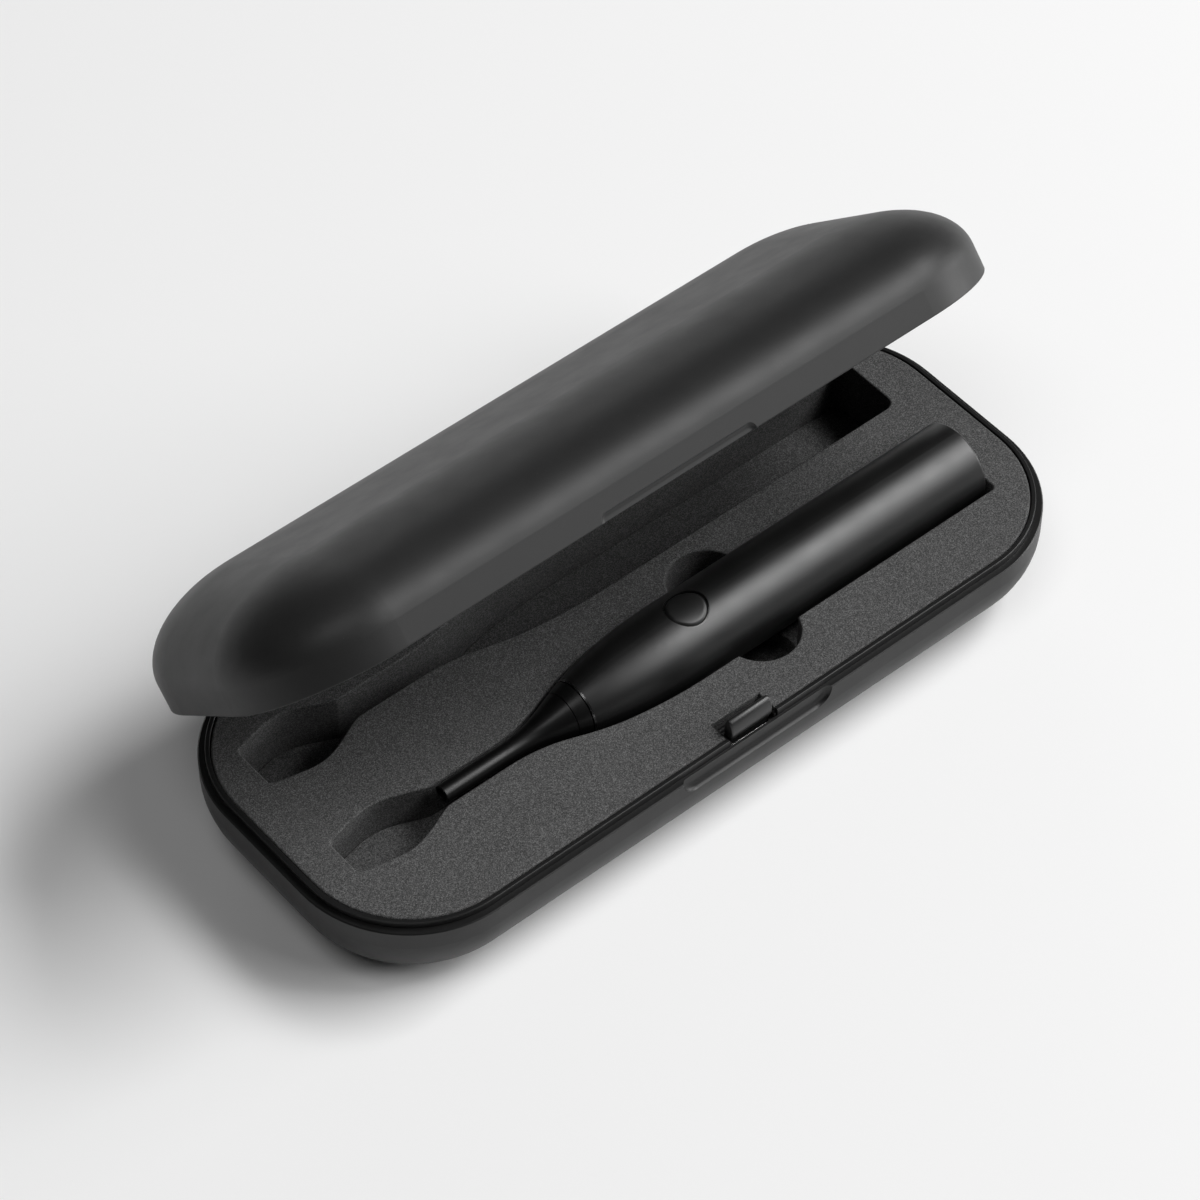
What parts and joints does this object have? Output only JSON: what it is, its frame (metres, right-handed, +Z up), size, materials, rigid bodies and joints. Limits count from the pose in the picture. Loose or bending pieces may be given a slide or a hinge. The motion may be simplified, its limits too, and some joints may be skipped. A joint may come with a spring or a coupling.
{
  "type": "electric toothbrush travel case",
  "caption": "Hinged hard travel case with a foam bed that holds an electric toothbrush, a spare pocket and a rocking front catch.",
  "frame": {"origin": "middle of the base's underside, on the surface that the case rests on", "axes": "+X along the case towards the butt of the toothbrush, +Y from the front catch towards the hinge, +Z up"},
  "size_m": [0.22, 0.1054, 0.098],
  "materials": {
    "case_plastic": "soft-touch matte, dark grey",
    "lip_plastic": "matte, dark grey",
    "foam": "fine-grained flocked foam, dark grey",
    "brush_plastic": "satin, near black",
    "stem_plastic": "satin, near black",
    "trim": "polished, dark",
    "button_plastic": "satin, near black",
    "latch_plastic": "satin, near black",
    "rubber": "matt black",
    "steel": "bright steel",
    "copper": "enamelled copper wire",
    "bronze": "sintered bronze",
    "ferrite": "dark sintered",
    "cell": "plain sleeve",
    "chassis_plastic": "moulded, off-white",
    "board": "green laminate",
    "switch": "dark, glossy"
  },
  "bodies": {
    "base": {"base_shell": "case_plastic", "rim_frame": "lip_plastic", "foam_insert": "foam", "base_feet": "rubber", "hinge_pins": "steel", "hinge_washers": "steel", "latch_housing": "latch_plastic", "latch_pin": "steel", "latch_spring": "steel"},
    "lid": {"lid_shell": "case_plastic", "lid_foam": "foam", "latch_claw": "latch_plastic"},
    "catch": {"latch_catch": "latch_plastic"},
    "toothbrush": {"handle_shell": "brush_plastic", "end_cap": "brush_plastic", "end_cap_seal": "rubber", "charging_coil": "copper", "coil_core": "ferrite", "battery_cell": "cell", "battery_contacts": "steel", "chassis": "chassis_plastic", "circuit_board": "board", "board_screws": "steel", "tact_switch": "switch", "button_membrane": "rubber", "button_ring": "button_plastic", "motor_housing": "steel", "motor_windings": "copper", "shaft_bushings": "bronze", "shaft_seal": "rubber", "trim_ring": "trim"},
    "button": {"power_button": "button_plastic"},
    "drive": {"motor_magnet": "ferrite", "drive_shaft": "steel", "head_collar": "stem_plastic", "brush_stem": "stem_plastic"}
  },
  "joints": [
    {"name": "lid_hinge", "type": "hinge", "parent": "base", "child": "lid", "pos_m": [0, 0.0514, 0.0192], "axis": [-1, 0, 0], "range_deg": [-42.8, 52.2]},
    {"name": "latch_tilt", "type": "hinge", "parent": "base", "child": "catch", "pos_m": [0, -0.0428, 0.0206], "axis": [-1, 0, 0], "range_deg": [0, 7], "stiffness_Nm_per_rad": 0.05, "springref_deg": -2.86},
    {"name": "brush_lift", "type": "slide", "parent": "base", "child": "toothbrush", "axis": [0, 0, 1], "range_m": [0, 0.025]},
    {"name": "power_press", "type": "slide", "parent": "toothbrush", "child": "button", "axis": [0, 0, -1], "range_m": [0, 0.0006], "stiffness_N_per_m": 800, "springref_m": -0.0003},
    {"name": "brush_drive", "type": "hinge", "parent": "toothbrush", "child": "drive", "pos_m": [0, -0.0136, 0.0251], "axis": [1, 0, 0], "range_deg": [-4.5, 4.5], "stiffness_Nm_per_rad": 0.05}
  ]
}
